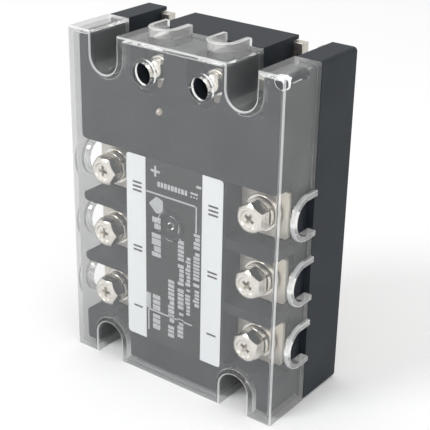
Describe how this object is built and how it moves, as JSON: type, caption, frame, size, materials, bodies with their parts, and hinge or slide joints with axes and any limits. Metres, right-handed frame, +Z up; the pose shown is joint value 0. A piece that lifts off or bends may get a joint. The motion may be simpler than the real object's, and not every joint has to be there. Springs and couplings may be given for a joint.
{
  "type": "solid state relay",
  "caption": "Upright slab-shaped solid state relay: black housing with side screw terminals under a clear cover, metal base plate, U-notched ends for mounting bolts.",
  "frame": {"origin": "middle of the footprint on the surface that the relay stands on, half way between the cover's front and the base plate's back", "axes": "+Z up along the case's long side, +X to the right seen from the front, front of the cover faces -Y, base plate faces +Y"},
  "size_m": [0.0774, 0.0356, 0.1074],
  "materials": {
    "black_plastic": "fine moulded texture",
    "clear_plastic": "clear polished moulding",
    "base_metal": "milled, bare",
    "nickel_plate": "satin nickel plate",
    "zinc_plated_steel": "bright plated",
    "label_film": "printed film",
    "led_lens": "diffused lens",
    "board_green": "solder mask",
    "moulded_epoxy": "moulded epoxy",
    "resistor_blue": "lacquer",
    "ceramic": "fired alumina",
    "silicon": "polished die",
    "potting_gel": "set gel"
  },
  "bodies": {
    "relay": {"housing": "black_plastic", "base_plate": "base_metal", "main_terminal_left_1": "nickel_plate", "main_terminal_left_2": "nickel_plate", "main_terminal_left_3": "nickel_plate", "main_terminal_right_1": "nickel_plate", "main_terminal_right_2": "nickel_plate", "main_terminal_right_3": "nickel_plate", "input_terminal_left": "nickel_plate", "input_terminal_right": "nickel_plate", "spring_washer_left_1": "zinc_plated_steel", "spring_washer_left_2": "zinc_plated_steel", "spring_washer_left_3": "zinc_plated_steel", "spring_washer_right_1": "zinc_plated_steel", "spring_washer_right_2": "zinc_plated_steel", "spring_washer_right_3": "zinc_plated_steel", "flat_washer_left_1": "zinc_plated_steel", "flat_washer_left_2": "zinc_plated_steel", "flat_washer_left_3": "zinc_plated_steel", "flat_washer_right_1": "zinc_plated_steel", "flat_washer_right_2": "zinc_plated_steel", "flat_washer_right_3": "zinc_plated_steel", "main_nut_left_1": "zinc_plated_steel", "main_nut_left_2": "zinc_plated_steel", "main_nut_left_3": "zinc_plated_steel", "main_nut_right_1": "zinc_plated_steel", "main_nut_right_2": "zinc_plated_steel", "main_nut_right_3": "zinc_plated_steel", "input_washer_left": "zinc_plated_steel", "input_washer_right": "zinc_plated_steel", "input_nut_left": "zinc_plated_steel", "input_nut_right": "zinc_plated_steel", "label": "label_film", "status_led": "led_lens", "control_board": "board_green", "optocoupler_1": "moulded_epoxy", "optocoupler_2": "moulded_epoxy", "optocoupler_3": "moulded_epoxy", "input_rectifier": "moulded_epoxy", "smoothing_capacitor": "moulded_epoxy", "dropping_resistor": "resistor_blue", "ceramic_substrate_1": "ceramic", "ceramic_substrate_2": "ceramic", "ceramic_substrate_3": "ceramic", "thyristor_chip_left_1": "silicon", "thyristor_chip_left_2": "silicon", "thyristor_chip_left_3": "silicon", "thyristor_chip_right_1": "silicon", "thyristor_chip_right_2": "silicon", "thyristor_chip_right_3": "silicon", "potting": "potting_gel"},
    "cover": {"clear_cover": "clear_plastic"},
    "main_screw_left_1": {"main_screw_left_1": "zinc_plated_steel"},
    "main_screw_left_2": {"main_screw_left_2": "zinc_plated_steel"},
    "main_screw_left_3": {"main_screw_left_3": "zinc_plated_steel"},
    "main_screw_right_1": {"main_screw_right_1": "zinc_plated_steel"},
    "main_screw_right_2": {"main_screw_right_2": "zinc_plated_steel"},
    "main_screw_right_3": {"main_screw_right_3": "zinc_plated_steel"},
    "input_screw_left": {"input_screw_left": "zinc_plated_steel"},
    "input_screw_right": {"input_screw_right": "zinc_plated_steel"}
  },
  "joints": [
    {"name": "cover_lift", "type": "slide", "parent": "relay", "child": "cover", "axis": [0, -1, 0], "range_m": [0, 0.03]},
    {"name": "main_screw_turn_left_1", "type": "hinge", "parent": "relay", "child": "main_screw_left_1", "pos_m": [-0.0267, -0.01595, 0.0216], "axis": [0, 1, 0], "continuous": true},
    {"name": "main_screw_turn_left_2", "type": "hinge", "parent": "relay", "child": "main_screw_left_2", "pos_m": [-0.0267, -0.01595, 0.0419], "axis": [0, 1, 0], "continuous": true},
    {"name": "main_screw_turn_left_3", "type": "hinge", "parent": "relay", "child": "main_screw_left_3", "pos_m": [-0.0267, -0.01595, 0.0622], "axis": [0, 1, 0], "continuous": true},
    {"name": "main_screw_turn_right_1", "type": "hinge", "parent": "relay", "child": "main_screw_right_1", "pos_m": [0.0267, -0.01595, 0.0216], "axis": [0, 1, 0], "continuous": true},
    {"name": "main_screw_turn_right_2", "type": "hinge", "parent": "relay", "child": "main_screw_right_2", "pos_m": [0.0267, -0.01595, 0.0419], "axis": [0, 1, 0], "continuous": true},
    {"name": "main_screw_turn_right_3", "type": "hinge", "parent": "relay", "child": "main_screw_right_3", "pos_m": [0.0267, -0.01595, 0.0622], "axis": [0, 1, 0], "continuous": true},
    {"name": "input_screw_turn_left", "type": "hinge", "parent": "relay", "child": "input_screw_left", "pos_m": [-0.01, -0.01215, 0.0959], "axis": [0, 1, 0], "continuous": true},
    {"name": "input_screw_turn_right", "type": "hinge", "parent": "relay", "child": "input_screw_right", "pos_m": [0.01, -0.01215, 0.0959], "axis": [0, 1, 0], "continuous": true}
  ]
}
